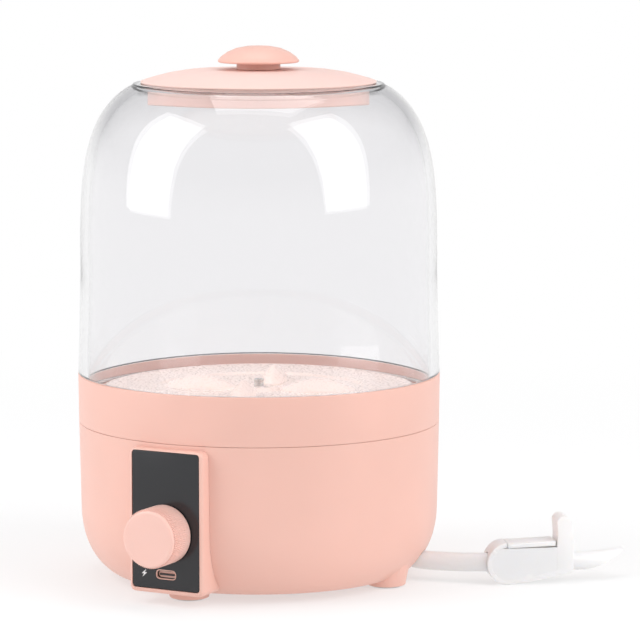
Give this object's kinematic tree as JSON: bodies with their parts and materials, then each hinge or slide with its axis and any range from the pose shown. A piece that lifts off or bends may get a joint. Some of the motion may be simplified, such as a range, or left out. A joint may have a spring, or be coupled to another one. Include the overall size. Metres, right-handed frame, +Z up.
{
  "type": "mini tabletop washing machine",
  "caption": "Round tabletop washing machine with a clear domed tub, lift-off lid, finned pulsator, front knob panel and a side drain hose with a pinch clamp.",
  "frame": {"origin": "middle of the machine's own bounding box on the table, without the hose and its clamp; the tub's axis stands 8.9 mm behind it", "axes": "+Z up along the tub's axis, -Y out of the control panel, +X towards the side where the hose leaves"},
  "size_m": [0.219, 0.1724, 0.2267],
  "materials": {
    "pink_plastic": "satin moulded plastic, fine grain",
    "pale_pink_plastic": "satin moulded plastic",
    "clear_plastic": "clear polished plastic",
    "milky_plastic": "translucent milky plastic",
    "black_glass_plastic": "glossy black",
    "black_plastic": "matt black",
    "grey_rubber": "matt",
    "translucent_clamp_plastic": "natural unpigmented plastic, slightly translucent",
    "white_plastic": "natural white plastic",
    "steel": "plain steel",
    "brass": "plain",
    "board_green": "solder mask",
    "red_wire": "soft insulation",
    "black_wire": "soft insulation"
  },
  "bodies": {
    "base": {"lower_housing": "pink_plastic", "bottom_cover": "pink_plastic", "upper_ring": "pink_plastic", "basin": "pink_plastic", "panel_bezel": "pink_plastic", "clear_tub": "clear_plastic", "tub_seal": "milky_plastic", "drain_hose": "milky_plastic", "panel_window": "black_glass_plastic", "usb_tongue": "black_plastic", "display_module": "black_plastic", "motor_end_cap": "black_plastic", "shaft_seal": "black_plastic", "foot_pad_1": "grey_rubber", "foot_pad_2": "grey_rubber", "foot_pad_3": "grey_rubber", "foot_pad_4": "grey_rubber", "clamp_body": "translucent_clamp_plastic", "gearbox_base": "white_plastic", "gearbox_cover": "white_plastic", "drain_pipe": "white_plastic", "cover_screw_1": "steel", "cover_screw_2": "steel", "cover_screw_3": "steel", "cover_screw_4": "steel", "basin_screw_1": "steel", "basin_screw_2": "steel", "basin_screw_3": "steel", "basin_screw_4": "steel", "gearbox_screw_1": "steel", "gearbox_screw_2": "steel", "gearbox_screw_3": "steel", "motor_screw_1": "steel", "motor_screw_2": "steel", "board_screw_1": "steel", "board_screw_2": "steel", "motor_can": "steel", "encoder_body": "steel", "usb_socket": "steel", "lower_bush": "brass", "upper_bush": "brass", "control_board": "board_green", "motor_wire_red": "red_wire", "motor_wire_black": "black_wire"},
    "lid": {"lid_cap": "pale_pink_plastic", "lid_knob": "pale_pink_plastic", "lid_screw": "steel"},
    "pulsator": {"pulsator": "milky_plastic", "pulsator_screw": "steel", "output_shaft": "steel", "drive_gear": "white_plastic"},
    "rotor": {"motor_shaft": "steel", "armature": "brass", "pinion_gear": "brass"},
    "knob": {"control_knob": "pale_pink_plastic", "encoder_shaft": "steel"},
    "clamp_arm": {"clamp_lever": "translucent_clamp_plastic"}
  },
  "joints": [
    {"name": "lid_lift", "type": "slide", "parent": "base", "child": "lid", "axis": [0, 0, 1], "range_m": [0, 0.06]},
    {"name": "pulsator_spin", "type": "hinge", "parent": "base", "child": "pulsator", "pos_m": [0, 0.0089, 0.08], "axis": [0, 0, 1], "continuous": true},
    {"name": "motor_spin", "type": "hinge", "parent": "base", "child": "rotor", "pos_m": [0, 0.034, 0.05], "axis": [0, 0, 1], "continuous": true},
    {"name": "knob_turn", "type": "hinge", "parent": "base", "child": "knob", "pos_m": [0, -0.0721, 0.0304], "axis": [0, -1, 0], "continuous": true},
    {"name": "clamp_open", "type": "hinge", "parent": "base", "child": "clamp_arm", "pos_m": [0.10373, 0.03846, 0.0167], "axis": [0.5793, -0.8151, 0], "range_deg": [0, 30]}
  ],
  "couplings": [
    {"joint": "motor_spin", "follows": "pulsator_spin", "ratio": -4}
  ]
}
